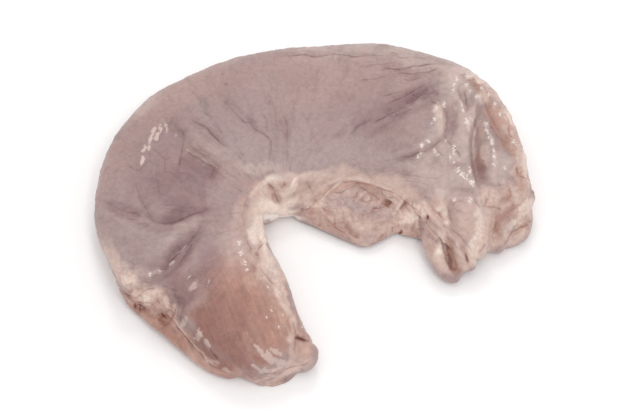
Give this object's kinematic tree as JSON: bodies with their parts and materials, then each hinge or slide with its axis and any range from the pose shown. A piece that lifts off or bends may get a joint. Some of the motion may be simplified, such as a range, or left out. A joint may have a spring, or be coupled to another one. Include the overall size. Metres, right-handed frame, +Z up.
{
  "type": "raw pig stomach",
  "caption": "Raw pig stomach lying on its side: a bag bent like a horseshoe, with a muscular outlet, deep folds, a fatty web and an open bay.",
  "frame": {"origin": "on the table, under the middle of the stomach's box", "axes": "+X to the right, along the horseshoe's width; +Y away from the viewer, towards the outer curve; +Z up from the table"},
  "size_m": [0.302, 0.259, 0.0536],
  "materials": {
    "tissue": "wet gloss over soft pink-grey tissue"
  },
  "bodies": {
    "root": {"stomach": "tissue"}
  },
  "joints": []
}
